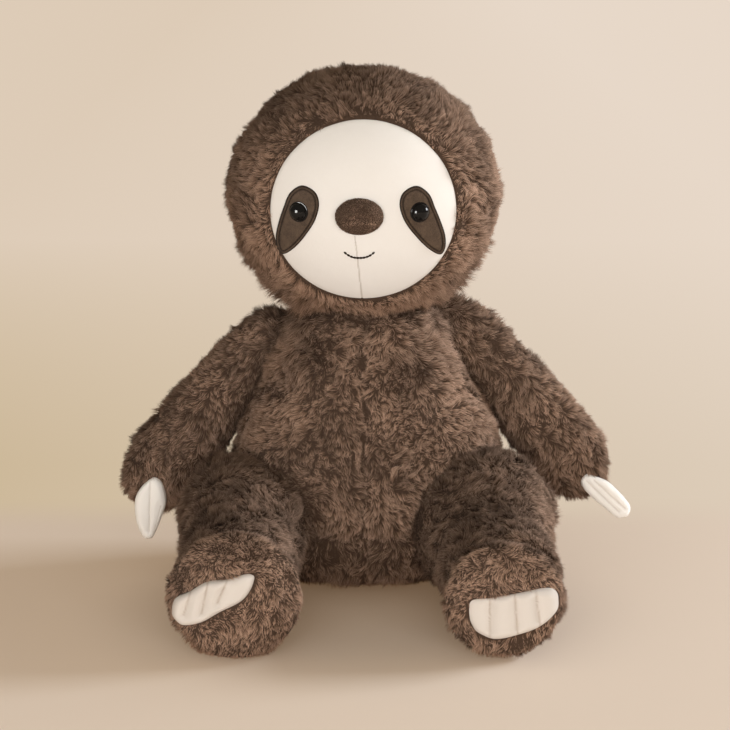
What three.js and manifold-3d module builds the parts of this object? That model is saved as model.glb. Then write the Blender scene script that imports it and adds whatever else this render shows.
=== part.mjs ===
// A seated plush sloth. Fur fabric panels are sewn over stuffing, with a bean pouch in the seat.
// The head turns on the neck seam, the arms lift at the shoulder seams, the legs spread at the hips.
// Millimetres. +Z is up, the toy faces -Y, its left side is +X, and the seat's centre is the origin.

import * as THREE from 'three';
import { mergeVertices } from 'three/addons/utils/BufferGeometryUtils.js';
import Module from 'manifold-3d';

// Cloth and sewing
const FUR_THICKNESS = 6;
const FACE_CLOTH_THICKNESS = 3;
const SEAM_GAP = 0.3;

// Torso: a pear on a flat seat
const SEAT_RADIUS = 62;
const BELLY_RADIUS = 87;
const BELLY_HEIGHT = 62;
const NECK_RADIUS = 45;
const NECK_HEIGHT = 172;
const CHEST_SLOPE = 1.1;
const TORSO_DEPTH_RATIO = 0.84;
const SEAT_SEAM_HEIGHT = 39;
const SIDE_SEAM_Y = 6;
const NECK_OPENING_RADIUS = 24;
const BEAN_DEPTH = 30;

// Head: an ellipsoid that sits flat on the neck
const HEAD_WIDTH = 172;
const HEAD_DEPTH = 148;
const HEAD_HEIGHT = 160;
const HEAD_OVERHANG = 6;
const CHIN_DROP = 3;
const HOOD_SEAM_SETBACK = 12;

// Face, measured from the middle of the head
const FACE_WIDTH = 117;
const FACE_HEIGHT = 115;
const FACE_DROP = 5;
const NOSE_WIDTH = 30;
const NOSE_HEIGHT = 23;
const NOSE_DEPTH = 22;
const NOSE_DROP = 6;
const FEATURE_SHIFT = -2.5;
const EYE_SPACING = 74;
const EYE_DROP = 4;
const EYE_DIAMETER = 12;
const EYE_DOME = 5;
const POST_DIAMETER = 5;
const POST_LENGTH = 13;
const WASHER_DIAMETER = 15;
const WASHER_THICKNESS = 2;
const PATCH_THICKNESS = 1.5;
const MOUTH_WIDTH = 19;
const MOUTH_DIP = 4;
const MOUTH_DROP = 28;
const THREAD_DIAMETER = 1.4;

// Arms hang out and down from the shoulders
const ARM_LENGTH = 158;
const ARM_ROOT_RADIUS = 23;
const ARM_MIDDLE_RADIUS = 26;
const ARM_HAND_RADIUS = 26;
const ARM_DEPTH_RATIO = 0.84;
const ARM_BOW = 5;
const ARM_ROOT_ROUND = 20;
const ARM_HAND_ROUND = 28;
const ARM_SET_BACK = 16;
const ARM_ROOT_X = 47;
const SHOULDER_SEAM_X = 48;

// Legs lie forward on the floor
const LEG_LENGTH = 194;
const LEG_HIP_RADIUS = 49;
const LEG_MIDDLE_RADIUS = 37;
const LEG_FOOT_RADIUS = 40;
const LEG_DEPTH_RATIO = 0.97;
const LEG_ROOT_ROUND = 28;
const LEG_TOE_ROUND = 20;
const LEG_ROOT_X = 71;
const LEG_ROOT_Y = -12;
const FLOOR_PRESS = 0.5;

// Claws are stuffed lobes of cream cloth in a row
const TOE_COUNT = 4;
const TOE_PITCH = 12.5;
const TOE_LOBE_WIDTH = 20;
const TOE_LOBE_DEPTH = 12;
const TOE_WRAP_RADIUS = 70;
const TOE_STAND_OFF = 1.5;
const FINGER_COUNT = 3;
const FINGER_PITCH = 5.5;
const FINGER_LOBE_WIDTH = 11;
const FINGER_LOBE_DEPTH = 9;
const FINGER_LENGTH = 40;
const FINGER_FAN = 6;
const FINGER_WRAP_RADIUS = 60;

// What differs between the two sides: how each arm hangs, each leg lies and each row of claws turns
const LEFT = {
  name: 'left',
  sign: 1,
  armRootZ: 171,
  armAngle: 41,
  legSpread: 4.3,
  footRoll: 5,
  toeShift: 0,
  toeDrop: 10,
  toeLength: 25,
  handClawOut: 5.3,
  handClawDown: 3.8,
  handClawAngle: 49,
  handClawSink: 6,
};
const RIGHT = {
  name: 'right',
  sign: -1,
  armRootZ: 164,
  armAngle: 39.5,
  legSpread: 2,
  footRoll: 24,
  toeShift: -7.5,
  toeDrop: -5,
  toeLength: 20,
  handClawOut: -9.5,
  handClawDown: 1.1,
  handClawAngle: 10,
  handClawSink: 2,
};

// How full the ends of the limbs are: 2 is an ellipse, more is squarer
const ROUNDNESS = 2.2;

// Fineness of the facets
const HEAD_SEGMENTS = 24;
const HEAD_RINGS = 14;
const TORSO_SEGMENTS = 20;
const TORSO_RINGS = 9;
const ARM_SEGMENTS = 12;
const LEG_SEGMENTS = 16;
const LIMB_RINGS = 9;
const LOBE_SEGMENTS = 8;
const LOBE_RINGS = 5;
const ROUND_SEGMENTS = 12;

// Places worked out from the sizes above
const REACH = 4 * (HEAD_WIDTH + HEAD_HEIGHT + LEG_LENGTH);
const HEAD_CENTRE = new THREE.Vector3(0, -HEAD_OVERHANG, NECK_HEIGHT - CHIN_DROP + HEAD_HEIGHT / 2);
const FACE_CENTRE_Z = HEAD_CENTRE.z - FACE_DROP;
const FACE_INSET = FUR_THICKNESS - FACE_CLOTH_THICKNESS;
const PATCH_INSET = FACE_INSET - SEAM_GAP - PATCH_THICKNESS;

const wasm = await Module();
wasm.setup();

// A closed geometry as a solid that can be joined and cut
function solid(geometry) {
  geometry.deleteAttribute('normal');
  geometry.deleteAttribute('uv');
  const merged = mergeVertices(geometry);
  return new wasm.Manifold(new wasm.Mesh({
    numProp: 3,
    vertProperties: merged.attributes.position.array,
    triVerts: new Uint32Array(merged.index.array),
  }));
}

// A box between two corners
function slab(low, high) {
  const size = high.map((value, axis) => value - low[axis]);
  const middle = high.map((value, axis) => (value + low[axis]) / 2);
  return solid(new THREE.BoxGeometry(...size).translate(...middle));
}

// A matrix whose Y runs along a limb, whose X points as near to out as it can, at an origin
function limbFrame(origin, along, out) {
  const y = along.clone().normalize();
  const x = out.clone().addScaledVector(y, -out.dot(y)).normalize();
  const z = new THREE.Vector3().crossVectors(x, y);
  return new THREE.Matrix4().makeBasis(x, y, z).setPosition(origin);
}

const degrees = (angle) => THREE.MathUtils.degToRad(angle);

// The torso's half width at a height
function torsoRadius(height) {
  if (height < BELLY_HEIGHT) {
    const below = 1 - height / BELLY_HEIGHT;
    return SEAT_RADIUS + (BELLY_RADIUS - SEAT_RADIUS) * Math.sqrt(1 - below * below);
  }
  const above = Math.min(1, (height - BELLY_HEIGHT) / (NECK_HEIGHT - BELLY_HEIGHT));
  const fall = Math.max(0, Math.cos(above * Math.PI / 2)) ** CHEST_SLOPE;
  return NECK_RADIUS + (BELLY_RADIUS - NECK_RADIUS) * fall;
}

// The pear of the torso, grown outwards or shrunk inwards by an even thickness
function torso(grow) {
  const bottom = -grow;
  const top = NECK_HEIGHT + grow;
  const profile = [new THREE.Vector2(0, bottom)];
  for (let ring = 0; ring <= TORSO_RINGS; ring += 1) {
    const share = ring / TORSO_RINGS;
    profile.push(new THREE.Vector2(torsoRadius(NECK_HEIGHT * share) + grow, bottom + (top - bottom) * share));
  }
  profile.push(new THREE.Vector2(0, top));
  const pear = new THREE.LatheGeometry(profile, TORSO_SEGMENTS);
  pear.rotateX(Math.PI / 2);
  pear.scale(1, TORSO_DEPTH_RATIO, 1);
  return solid(pear);
}

// The ellipsoid of the head, grown or shrunk in the same way
function head(grow) {
  const ball = new THREE.SphereGeometry(1, HEAD_SEGMENTS, HEAD_RINGS);
  ball.rotateX(Math.PI / 2);
  ball.scale(HEAD_WIDTH / 2 + grow, HEAD_DEPTH / 2 + grow, HEAD_HEIGHT / 2 + grow);
  ball.translate(HEAD_CENTRE.x, HEAD_CENTRE.y, HEAD_CENTRE.z);
  return solid(ball);
}

// The point on the front of the head at a place on the face, and the way that it faces
function headSurface(x, z, grow) {
  const halves = [HEAD_WIDTH, HEAD_DEPTH, HEAD_HEIGHT].map((size) => size / 2 + grow);
  const rise = z - HEAD_CENTRE.z;
  const depth = Math.sqrt(1 - (x / halves[0]) ** 2 - (rise / halves[2]) ** 2) * halves[1];
  const point = new THREE.Vector3(x, HEAD_CENTRE.y - depth, z);
  const normal = new THREE.Vector3(x / halves[0] ** 2, -depth / halves[1] ** 2, rise / halves[2] ** 2);
  return { point, normal: normal.normalize() };
}

// An upright column round the neck's turning axis
function neckColumn(radius, low, high) {
  const column = new THREE.CylinderGeometry(radius, radius, high - low, ROUND_SEGMENTS);
  column.rotateX(Math.PI / 2);
  column.translate(HEAD_CENTRE.x, HEAD_CENTRE.y, (low + high) / 2);
  return solid(column);
}

// A limb: a round bar that swells and tapers through three radii, with round ends and a sideways bow
function limb(shape, place, grow) {
  const profile = [];
  for (let ring = 0; ring <= LIMB_RINGS; ring += 1) {
    const turn = Math.PI * ring / LIMB_RINGS;
    const share = (1 - Math.cos(turn)) / 2;
    const swell = shape.root * (1 - share) * (1 - 2 * share)
      + shape.middle * 4 * share * (1 - share)
      + shape.end * share * (2 * share - 1);
    const fromRoot = Math.max(0, 1 - shape.length * share / shape.rootRound);
    const fromEnd = Math.max(0, 1 - shape.length * (1 - share) / shape.endRound);
    const rounding = (1 - Math.max(fromRoot, fromEnd) ** ROUNDNESS) ** (1 / ROUNDNESS);
    profile.push(new THREE.Vector2((swell + grow) * rounding, shape.length * share - grow * Math.cos(turn)));
  }
  profile[0].x = 0;
  profile[LIMB_RINGS].x = 0;
  const bar = new THREE.LatheGeometry(profile, shape.segments);
  bar.scale(1, 1, shape.depthRatio);
  const position = bar.attributes.position;
  for (let i = 0; i < position.count; i += 1) {
    const share = position.getY(i) / shape.length;
    position.setX(i, position.getX(i) + shape.bow * 4 * share * (1 - share));
  }
  return solid(bar.applyMatrix4(place));
}

// A frame for claws: Y runs back into the toy, Z leans over from upright by an angle seen from the front
function clawFrame(centre, lean) {
  return new THREE.Matrix4().makeRotationY(-degrees(lean)).setPosition(centre);
}

// A row of stuffed lobes fused side by side, roots up and tips down, wrapped back round a radius
function clawRow(row, length, place) {
  let strip = null;
  for (let i = 0; i < row.count; i += 1) {
    const step = i - (row.count - 1) / 2;
    const across = row.pitch * step + row.shift;
    const lobe = new THREE.SphereGeometry(1, LOBE_SEGMENTS, LOBE_RINGS);
    lobe.scale(row.width / 2, length / 2, row.depth / 2);
    lobe.rotateX(Math.PI / 2);
    lobe.rotateY(degrees(row.fan * step));
    lobe.translate(across, across * across / (2 * row.wrapRadius), 0);
    const part = solid(lobe.applyMatrix4(place));
    strip = strip ? strip.add(part) : part;
  }
  return strip;
}

const model = new THREE.Group();
model.name = 'plush_sloth';

// A sewn body: a group in the scene that its pieces are added to
function sewnBody(name) {
  const group = new THREE.Group();
  group.name = name;
  model.add(group);
  return group;
}

// One finished piece as a named mesh with its own material
function piece(group, name, shape, finish) {
  const cut = shape.getMesh();
  const geometry = new THREE.BufferGeometry();
  geometry.setAttribute('position', new THREE.BufferAttribute(new Float32Array(cut.vertProperties), 3));
  geometry.setIndex(new THREE.BufferAttribute(new Uint32Array(cut.triVerts), 1));
  geometry.computeVertexNormals();
  const mesh = new THREE.Mesh(geometry, new THREE.MeshStandardMaterial(finish));
  mesh.name = name;
  group.add(mesh);
}

const FUR = { color: 0x7a6557, roughness: 0.95, metalness: 0 };
const CREAM = { color: 0xeadfce, roughness: 0.9, metalness: 0 };
const SUEDE = { color: 0x4b3a31, roughness: 0.9, metalness: 0 };
const FILLING = { color: 0xf4f2ec, roughness: 1, metalness: 0 };
const BEANS = { color: 0xd9d4c8, roughness: 0.9, metalness: 0 };
const GLOSS_BLACK = { color: 0x0c0b0b, roughness: 0.08, metalness: 0 };
const WASHER = { color: 0xe6e6e2, roughness: 0.5, metalness: 0 };
const THREAD = { color: 0x2a211c, roughness: 0.8, metalness: 0 };

// Torso: four fur panels round the stuffing, which rests on the bean pouch
const torsoInside = torso(-FUR_THICKNESS);
const torsoClear = torso(SEAM_GAP);
const neckFloor = NECK_HEIGHT - 2 * FUR_THICKNESS;
const torsoCover = torso(0)
  .subtract(torsoInside)
  .subtract(neckColumn(NECK_OPENING_RADIUS, neckFloor, NECK_HEIGHT + FUR_THICKNESS));
const half = SEAM_GAP / 2;
const aboveSeat = torsoCover.intersect(
  slab([-REACH, -REACH, SEAT_SEAM_HEIGHT + half], [REACH, REACH, REACH]),
);
const torsoBody = sewnBody('torso');
piece(torsoBody, 'torso_front_left',
  aboveSeat.intersect(slab([half, -REACH, 0], [REACH, SIDE_SEAM_Y - half, REACH])), FUR);
piece(torsoBody, 'torso_front_right',
  aboveSeat.intersect(slab([-REACH, -REACH, 0], [-half, SIDE_SEAM_Y - half, REACH])), FUR);
piece(torsoBody, 'torso_back',
  aboveSeat.intersect(slab([-REACH, SIDE_SEAM_Y + half, 0], [REACH, REACH, REACH])), FUR);
piece(torsoBody, 'seat_panel',
  torsoCover.intersect(slab([-REACH, -REACH, -REACH], [REACH, REACH, SEAT_SEAM_HEIGHT - half])), FUR);

const torsoFill = torso(-FUR_THICKNESS - SEAM_GAP);
const beanTop = FUR_THICKNESS + SEAM_GAP + BEAN_DEPTH;
const neckPlugRadius = NECK_OPENING_RADIUS - SEAM_GAP;
piece(torsoBody, 'bean_pouch',
  torsoFill.intersect(slab([-REACH, -REACH, -REACH], [REACH, REACH, beanTop])), BEANS);
piece(torsoBody, 'torso_stuffing',
  torsoFill
    .subtract(slab([-REACH, -REACH, -REACH], [REACH, REACH, beanTop + SEAM_GAP]))
    .add(neckColumn(neckPlugRadius, neckFloor - FUR_THICKNESS, NECK_HEIGHT)), FILLING);

// Head: a fur hood with a round opening for the face, a fur back, and the stuffing
const headFloor = NECK_HEIGHT + SEAM_GAP;
const underHead = slab([-REACH, -REACH, -REACH], [REACH, REACH, headFloor]);
const headInside = head(-FUR_THICKNESS);
const headCover = head(0)
  .subtract(headInside)
  .subtract(underHead)
  .subtract(neckColumn(NECK_OPENING_RADIUS, NECK_HEIGHT, headFloor + 2 * FUR_THICKNESS));
const hoodSeamY = HEAD_CENTRE.y + HOOD_SEAM_SETBACK;

// A prism through the front of the head with the outline of the face
function facePrism(grow) {
  const prism = new THREE.CylinderGeometry(1, 1, HEAD_DEPTH, HEAD_SEGMENTS);
  prism.scale(FACE_WIDTH / 2 + grow, 1, FACE_HEIGHT / 2 + grow);
  prism.translate(0, HEAD_CENTRE.y - HEAD_DEPTH / 2, FACE_CENTRE_Z);
  return solid(prism);
}

// A prism through the front of the head with a drawn outline, given as places on the face
function outlinePrism(points) {
  const shape = new THREE.Shape(points);
  const prism = new THREE.ExtrudeGeometry(shape, { depth: HEAD_DEPTH, bevelEnabled: false });
  prism.rotateX(Math.PI / 2);
  prism.translate(0, HEAD_CENTRE.y, 0);
  return solid(prism);
}
const headBody = sewnBody('head');
piece(headBody, 'hood_front',
  headCover
    .subtract(slab([-REACH, hoodSeamY - half, -REACH], [REACH, REACH, REACH]))
    .subtract(facePrism(half)), FUR);
piece(headBody, 'head_back',
  headCover.subtract(slab([-REACH, -REACH, -REACH], [REACH, hoodSeamY + half, REACH])), FUR);

// Face: cream cloth in the hood's opening, with the eyes' posts through it and the pieces sewn on it
const eyeZ = HEAD_CENTRE.z - EYE_DROP;
const faceClear = head(-FACE_INSET + SEAM_GAP);
const patchClear = head(-PATCH_INSET + SEAM_GAP);
const stuffingBall = head(-FUR_THICKNESS - SEAM_GAP);
let facePanel = head(-FACE_INSET).subtract(headInside).intersect(facePrism(-half));
let headFill = stuffingBall
  .subtract(underHead)
  .add(neckColumn(neckPlugRadius, headFloor, headFloor + 3 * FUR_THICKNESS));

// A round bar along an eye's own axis, between two depths behind the surface of its patch
function eyeBar(eye, diameter, outer, inner) {
  const bar = new THREE.CylinderGeometry(diameter / 2, diameter / 2, inner - outer, ROUND_SEGMENTS);
  bar.rotateX(Math.PI / 2);
  bar.translate(0, 0, -(outer + inner) / 2);
  return solid(bar.applyMatrix4(eye));
}

// The eye's dome: an elliptic cap on a skirt that the patch trims
function eyeDome(eye) {
  const profile = [new THREE.Vector2(0, -EYE_DOME), new THREE.Vector2(EYE_DIAMETER / 2, -EYE_DOME)];
  for (let ring = 0; ring <= LOBE_RINGS; ring += 1) {
    const turn = Math.PI / 2 * ring / LOBE_RINGS;
    profile.push(new THREE.Vector2(EYE_DIAMETER / 2 * Math.cos(turn), EYE_DOME * Math.sin(turn)));
  }
  profile[profile.length - 1].x = 0;
  const dome = new THREE.LatheGeometry(profile, ROUND_SEGMENTS);
  dome.rotateX(Math.PI / 2);
  return solid(dome.applyMatrix4(eye)).subtract(patchClear);
}

// The patch's outline round the eye: a rounded drop that slants down and out
const PATCH_OUTLINE = [
  [-2, 16], [-10, 12.5], [-12.5, 5], [-10, -5], [-4, -15], [3.5, -24], [10.5, -28.5], [14, -24], [14.5, -16],
  [12.5, -7], [9.5, 2], [5.5, 11],
];
const clothDepth = FUR_THICKNESS - PATCH_INSET;
for (const side of [LEFT, RIGHT]) {
  const eyeX = FEATURE_SHIFT + side.sign * EYE_SPACING / 2;
  const seat = headSurface(eyeX, eyeZ, -PATCH_INSET);
  const turn = new THREE.Quaternion().setFromUnitVectors(new THREE.Vector3(0, 0, 1), seat.normal);
  const eye = new THREE.Matrix4().makeRotationFromQuaternion(turn).setPosition(seat.point);
  const postHole = eyeBar(eye, POST_DIAMETER + 2 * SEAM_GAP, -EYE_DOME, POST_LENGTH + EYE_DOME);
  const outline = PATCH_OUTLINE.map(([x, z]) => new THREE.Vector2(eyeX + side.sign * x, eyeZ + z));
  const curve = new THREE.SplineCurve([...outline, outline[0]]);
  const patch = outlinePrism(curve.getPoints(2 * outline.length).slice(0, -1))
    .intersect(head(-PATCH_INSET))
    .intersect(facePrism(-half))
    .subtract(faceClear)
    .subtract(postHole);
  const washer = eyeBar(eye, WASHER_DIAMETER, 0, clothDepth + SEAM_GAP + WASHER_THICKNESS)
    .intersect(stuffingBall)
    .subtract(postHole);
  facePanel = facePanel.subtract(postHole);
  headFill = headFill.subtract(eyeBar(eye, WASHER_DIAMETER + 2 * SEAM_GAP, 0, POST_LENGTH + SEAM_GAP));
  piece(headBody, `eye_patch_${side.name}`, patch, SUEDE);
  piece(headBody, `eye_${side.name}`,
    eyeDome(eye).add(eyeBar(eye, POST_DIAMETER, -EYE_DOME / 2, POST_LENGTH)), GLOSS_BLACK);
  piece(headBody, `eye_washer_${side.name}`, washer, WASHER);
}
piece(headBody, 'face_panel', facePanel, CREAM);
piece(headBody, 'head_stuffing', headFill, FILLING);

const noseSeat = headSurface(FEATURE_SHIFT, HEAD_CENTRE.z - NOSE_DROP, -FACE_INSET);
const noseBall = new THREE.SphereGeometry(1, ROUND_SEGMENTS, LOBE_RINGS + 1);
noseBall.scale(NOSE_WIDTH / 2, NOSE_DEPTH / 2, NOSE_HEIGHT / 2);
noseBall.translate(noseSeat.point.x, noseSeat.point.y, noseSeat.point.z);
piece(headBody, 'nose', solid(noseBall).subtract(faceClear), SUEDE);

// The mouth: one thick embroidered thread in a smile, laid on the face
const MOUTH_POINTS = 5;
const mouthPath = new THREE.CatmullRomCurve3(Array.from({ length: MOUTH_POINTS + 1 }, (unused, i) => {
  const across = 2 * i / MOUTH_POINTS - 1;
  const z = HEAD_CENTRE.z - MOUTH_DROP - MOUTH_DIP * (1 - across * across);
  const x = FEATURE_SHIFT + across * MOUTH_WIDTH / 2;
  return headSurface(x, z, -FACE_INSET + SEAM_GAP + THREAD_DIAMETER / 2).point;
}));
const threadSection = new THREE.Shape().absarc(0, 0, THREAD_DIAMETER / 2, 0, 2 * Math.PI);
const threadSteps = { steps: 2 * MOUTH_POINTS, extrudePath: mouthPath, curveSegments: 3, bevelEnabled: false };
piece(headBody, 'mouth_stitch', solid(new THREE.ExtrudeGeometry(threadSection, threadSteps)), THREAD);

// Arms: a front and a back fur panel round the stuffing, sewn to the torso's side, with claws at the hand
const ARM = {
  length: ARM_LENGTH,
  root: ARM_ROOT_RADIUS,
  middle: ARM_MIDDLE_RADIUS,
  end: ARM_HAND_RADIUS,
  rootRound: ARM_ROOT_ROUND,
  endRound: ARM_HAND_ROUND,
  depthRatio: ARM_DEPTH_RATIO,
  bow: ARM_BOW,
  segments: ARM_SEGMENTS,
};
const FINGERS = {
  count: FINGER_COUNT,
  pitch: FINGER_PITCH,
  width: FINGER_LOBE_WIDTH,
  depth: FINGER_LOBE_DEPTH,
  fan: FINGER_FAN,
  shift: 0,
  wrapRadius: FINGER_WRAP_RADIUS,
};
const shoulderSlab = slab([-SHOULDER_SEAM_X, -REACH, -REACH], [SHOULDER_SEAM_X, REACH, REACH]);
for (const side of [LEFT, RIGHT]) {
  const lean = degrees(side.armAngle);
  const root = new THREE.Vector3(side.sign * ARM_ROOT_X, ARM_SET_BACK, side.armRootZ);
  const along = new THREE.Vector3(side.sign * Math.sin(lean), 0, -Math.cos(lean));
  const out = new THREE.Vector3(side.sign * Math.cos(lean), 0, Math.sin(lean));
  const place = limbFrame(root, along, out);
  const sewn = (arm) => arm.subtract(torsoClear).subtract(shoulderSlab);
  const cover = sewn(limb(ARM, place, 0).subtract(limb(ARM, place, -FUR_THICKNESS)));
  const armBody = sewnBody(`${side.name}_arm`);
  piece(armBody, `${side.name}_arm_front`,
    cover.subtract(slab([-REACH, ARM_SET_BACK - half, -REACH], [REACH, REACH, REACH])), FUR);
  piece(armBody, `${side.name}_arm_back`,
    cover.subtract(slab([-REACH, -REACH, -REACH], [REACH, ARM_SET_BACK + half, REACH])), FUR);
  piece(armBody, `${side.name}_arm_stuffing`, sewn(limb(ARM, place, -FUR_THICKNESS - SEAM_GAP)), FILLING);
  const clawCentre = root.clone().addScaledVector(along, ARM_LENGTH);
  clawCentre.x += side.sign * side.handClawOut;
  clawCentre.y += side.handClawSink - ARM_HAND_RADIUS * ARM_DEPTH_RATIO;
  clawCentre.z -= side.handClawDown;
  const claws = clawFrame(clawCentre, side.sign * side.handClawAngle);
  piece(armBody, `${side.name}_hand_claws`,
    clawRow(FINGERS, FINGER_LENGTH, claws).subtract(limb(ARM, place, SEAM_GAP)), CREAM);
}

// Legs: an upper and an under fur panel round the stuffing, flat on the floor, with claws at the toes
const LEG = {
  length: LEG_LENGTH,
  root: LEG_HIP_RADIUS,
  middle: LEG_MIDDLE_RADIUS,
  end: LEG_FOOT_RADIUS,
  rootRound: LEG_ROOT_ROUND,
  endRound: LEG_TOE_ROUND,
  depthRatio: LEG_DEPTH_RATIO,
  bow: 0,
  segments: LEG_SEGMENTS,
};
const footDrop = (LEG_HIP_RADIUS - LEG_FOOT_RADIUS) * LEG_DEPTH_RATIO;
for (const side of [LEFT, RIGHT]) {
  const spread = degrees(side.legSpread);
  const along = new THREE.Vector3(side.sign * Math.sin(spread), -Math.cos(spread), -footDrop / LEG_LENGTH);
  const out = new THREE.Vector3(-Math.cos(spread), -side.sign * Math.sin(spread), 0);
  const root = new THREE.Vector3(side.sign * LEG_ROOT_X, LEG_ROOT_Y, 0);
  const loose = limb(LEG, limbFrame(root, along, out), 0).boundingBox();
  root.z = -loose.min[2] - FLOOR_PRESS;
  const place = limbFrame(root, along, out);
  const floor = slab([-REACH, -REACH, -REACH], [REACH, REACH, 0]);
  const fillFloor = slab([-REACH, -REACH, -REACH], [REACH, REACH, FUR_THICKNESS]);
  const cover = limb(LEG, place, 0)
    .subtract(limb(LEG, place, -FUR_THICKNESS))
    .subtract(torsoClear)
    .subtract(floor);
  const toe = root.clone().addScaledVector(along.clone().normalize(), LEG_LENGTH);
  const roll = new THREE.Matrix4().makeRotationY(-degrees(side.footRoll));
  const upper = new THREE.BoxGeometry(REACH, REACH, REACH).translate(0, 0, REACH / 2 + half);
  const under = new THREE.BoxGeometry(REACH, REACH, REACH).translate(0, 0, -REACH / 2 - half);
  const seamPlace = roll.clone().setPosition(toe);
  const legBody = sewnBody(`${side.name}_leg`);
  piece(legBody, `${side.name}_leg_upper`, cover.intersect(solid(upper.applyMatrix4(seamPlace))), FUR);
  piece(legBody, `${side.name}_leg_under`, cover.intersect(solid(under.applyMatrix4(seamPlace))), FUR);
  piece(legBody, `${side.name}_leg_stuffing`,
    limb(LEG, place, -FUR_THICKNESS - SEAM_GAP).subtract(torsoClear).subtract(fillFloor), FILLING);
  const toes = {
    count: TOE_COUNT,
    pitch: TOE_PITCH,
    width: TOE_LOBE_WIDTH,
    depth: TOE_LOBE_DEPTH,
    fan: 0,
    shift: side.toeShift,
    wrapRadius: TOE_WRAP_RADIUS,
  };
  const drop = new THREE.Vector3(0, -TOE_STAND_OFF, -side.toeDrop).applyMatrix4(roll);
  piece(legBody, `${side.name}_toe_claws`,
    clawRow(toes, side.toeLength, clawFrame(toe.clone().add(drop), side.footRoll))
      .subtract(limb(LEG, place, SEAM_GAP)), CREAM);
}

export default model;
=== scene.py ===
"""A seated plush sloth, dressed for the studio: stuffed skins, fur pile, face and claws."""

import math

import bmesh
import bpy
import numpy as np
from mathutils import Matrix, Vector, bvhtree, kdtree


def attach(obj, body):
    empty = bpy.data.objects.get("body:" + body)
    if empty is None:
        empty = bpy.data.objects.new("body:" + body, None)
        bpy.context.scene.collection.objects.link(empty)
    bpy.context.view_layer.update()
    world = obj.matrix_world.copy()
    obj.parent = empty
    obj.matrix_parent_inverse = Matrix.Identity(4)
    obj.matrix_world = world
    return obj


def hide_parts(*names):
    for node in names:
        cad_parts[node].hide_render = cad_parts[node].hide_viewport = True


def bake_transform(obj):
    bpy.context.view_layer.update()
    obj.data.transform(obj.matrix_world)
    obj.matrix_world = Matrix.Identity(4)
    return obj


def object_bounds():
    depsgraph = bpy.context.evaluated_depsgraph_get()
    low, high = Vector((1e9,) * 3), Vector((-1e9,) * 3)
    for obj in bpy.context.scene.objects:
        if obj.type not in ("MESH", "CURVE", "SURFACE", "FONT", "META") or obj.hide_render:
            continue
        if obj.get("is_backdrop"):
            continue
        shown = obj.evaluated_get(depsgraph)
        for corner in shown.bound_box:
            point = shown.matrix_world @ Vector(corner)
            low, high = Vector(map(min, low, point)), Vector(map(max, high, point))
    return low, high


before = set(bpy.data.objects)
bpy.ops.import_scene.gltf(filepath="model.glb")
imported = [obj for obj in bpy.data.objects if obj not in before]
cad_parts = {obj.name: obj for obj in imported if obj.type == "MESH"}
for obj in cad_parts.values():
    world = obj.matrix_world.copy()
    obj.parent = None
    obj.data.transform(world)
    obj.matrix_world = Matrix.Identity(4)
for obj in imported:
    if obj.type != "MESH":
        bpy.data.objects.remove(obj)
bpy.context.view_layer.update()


# The studio: a warm beige paper sweep, a soft lamp on the right that throws the shadow to the
# left, a wide weak one in front, one that only glints in the eyes, and even light all round.
# The paper also glows warm, painted light from below, dimmed under the toy as a painted contact
# shadow, and far off the sweep is a glow painted darker to the left and lower down, painted shade.
# The camera looks down 11 degrees from 1.7 m through a long lens.
scene = bpy.context.scene
scene.view_settings.view_transform = "Standard"


def placed(name, mesh):
    """A new object at the origin, linked to the scene."""
    made = bpy.data.objects.new(name, mesh)
    scene.collection.objects.link(made)
    return made


CAMERA_TILT = math.radians(11)
CAMERA_DISTANCE = 1.7
CAMERA_LENS = 130
CAMERA_TARGET = Vector((0.001, 0, 0.136))
lens = bpy.data.cameras.new("camera")
lens.lens, lens.sensor_width = CAMERA_LENS, 36
camera = placed("camera", lens)
camera.location = CAMERA_TARGET + CAMERA_DISTANCE * Vector(
    (0, -math.cos(CAMERA_TILT), math.sin(CAMERA_TILT))
)
camera.rotation_euler = (math.pi / 2 - CAMERA_TILT, 0, 0)
scene.camera = camera


class Dye:
    """A socket of a material's nodes. Sums on it add Math nodes, and node() adds any other."""

    def __init__(self, tree, socket=None):
        self.tree, self.socket = tree, socket

    def node(self, kind, settings=None, sockets=None, out=0):
        made = self.tree.nodes.new(kind)
        for name, value in (settings or {}).items():
            if name == "stops":
                stops = made.color_ramp.elements
                for place, colour in value:
                    stop = stops[0] if place == 0 else stops.new(place)
                    stop.position, stop.color = place, (*colour, 1)
                stops.remove(stops[-1])
            else:
                setattr(made, name, value)
        for name, value in (sockets or {}).items():
            if isinstance(value, Dye):
                self.tree.links.new(value.socket, made.inputs[name])
            else:
                made.inputs[name].default_value = value
        return Dye(self.tree, made.outputs[out])

    def maths(self, operation, *values):
        return self.node("ShaderNodeMath", {"operation": operation}, dict(enumerate(values)))

    def __add__(self, other):
        return self.maths("ADD", self, other)

    __radd__ = __add__

    def __mul__(self, other):
        return self.maths("MULTIPLY", self, other)

    __rmul__ = __mul__

    def __sub__(self, other):
        return self.maths("SUBTRACT", self, other)

    def __rsub__(self, other):
        return self.maths("SUBTRACT", other, self)


def finish_of(name, paint, **constants):
    """A material whose paint(dye) gives its varying sockets, with constants set on the shader."""
    made = bpy.data.materials.new(name)
    made.use_nodes = True
    shader = made.node_tree.nodes["Principled BSDF"]
    for socket, value in constants.items():
        shader.inputs[socket.replace("_", " ")].default_value = value
    for socket, value in paint(Dye(made.node_tree)).items():
        made.node_tree.links.new(value.socket, shader.inputs[socket])
    return made


def mixed(dye, share, low, high):
    """A colour between low and high, by a share that varies."""
    return dye.node("ShaderNodeMix", {"data_type": "RGBA"}, {0: share, 6: low, 7: high}, out=2)


def between(dye, value, start, end, manner="SMOOTHSTEP"):
    """From 0 to 1 as a value goes from start to end."""
    return dye.node(
        "ShaderNodeMapRange", {"interpolation_type": manner},
        {"Value": value, "From Min": start, "From Max": end},
    )


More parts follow.
